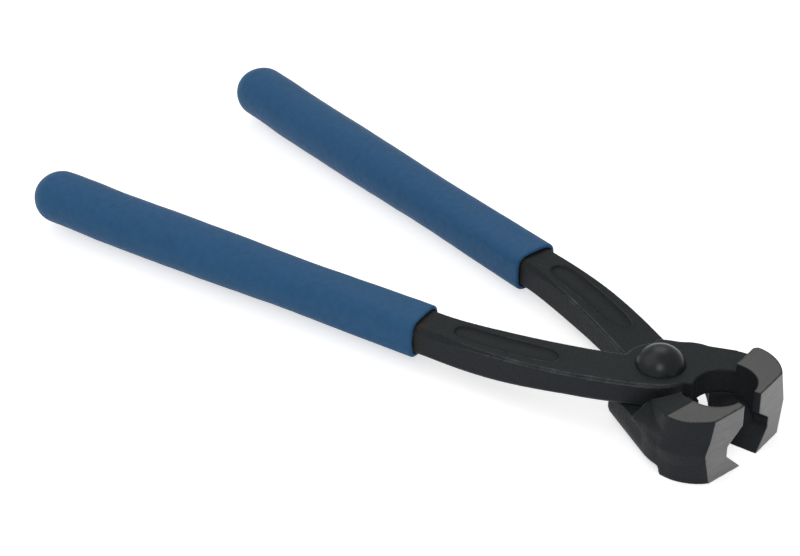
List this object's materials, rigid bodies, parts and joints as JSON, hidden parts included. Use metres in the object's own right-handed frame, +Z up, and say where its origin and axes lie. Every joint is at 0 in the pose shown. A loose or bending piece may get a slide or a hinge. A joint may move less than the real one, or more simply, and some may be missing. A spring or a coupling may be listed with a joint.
{
  "type": "o-clip pliers",
  "caption": "O-clip pliers with lap-jointed forged levers on a domed rivet, short notched pincer jaws and long round moulded grips.",
  "frame": {"origin": "under the middle of the bounding box, on the surface that the pliers lie on, at the pictured opening", "axes": "+X towards the jaws along the closing line, +Y towards the lower lever's handle, +Z up along the rivet"},
  "size_m": [0.2082, 0.0934, 0.0204],
  "materials": {
    "forged_steel": "dark phosphated forging with bright ground jaw faces",
    "rivet_steel": "dark, smoother than the forgings",
    "grip_plastic": "fine matt texture"
  },
  "bodies": {
    "lower_half": {"lower_lever": "forged_steel", "pivot_rivet": "rivet_steel", "lower_grip": "grip_plastic"},
    "upper_half": {"upper_lever": "forged_steel", "upper_grip": "grip_plastic"}
  },
  "joints": [
    {"name": "pivot", "type": "hinge", "parent": "lower_half", "child": "upper_half", "pos_m": [0.07639, 0, 0.009], "axis": [0, 0, 1], "range_deg": [-13.5, 20]}
  ]
}
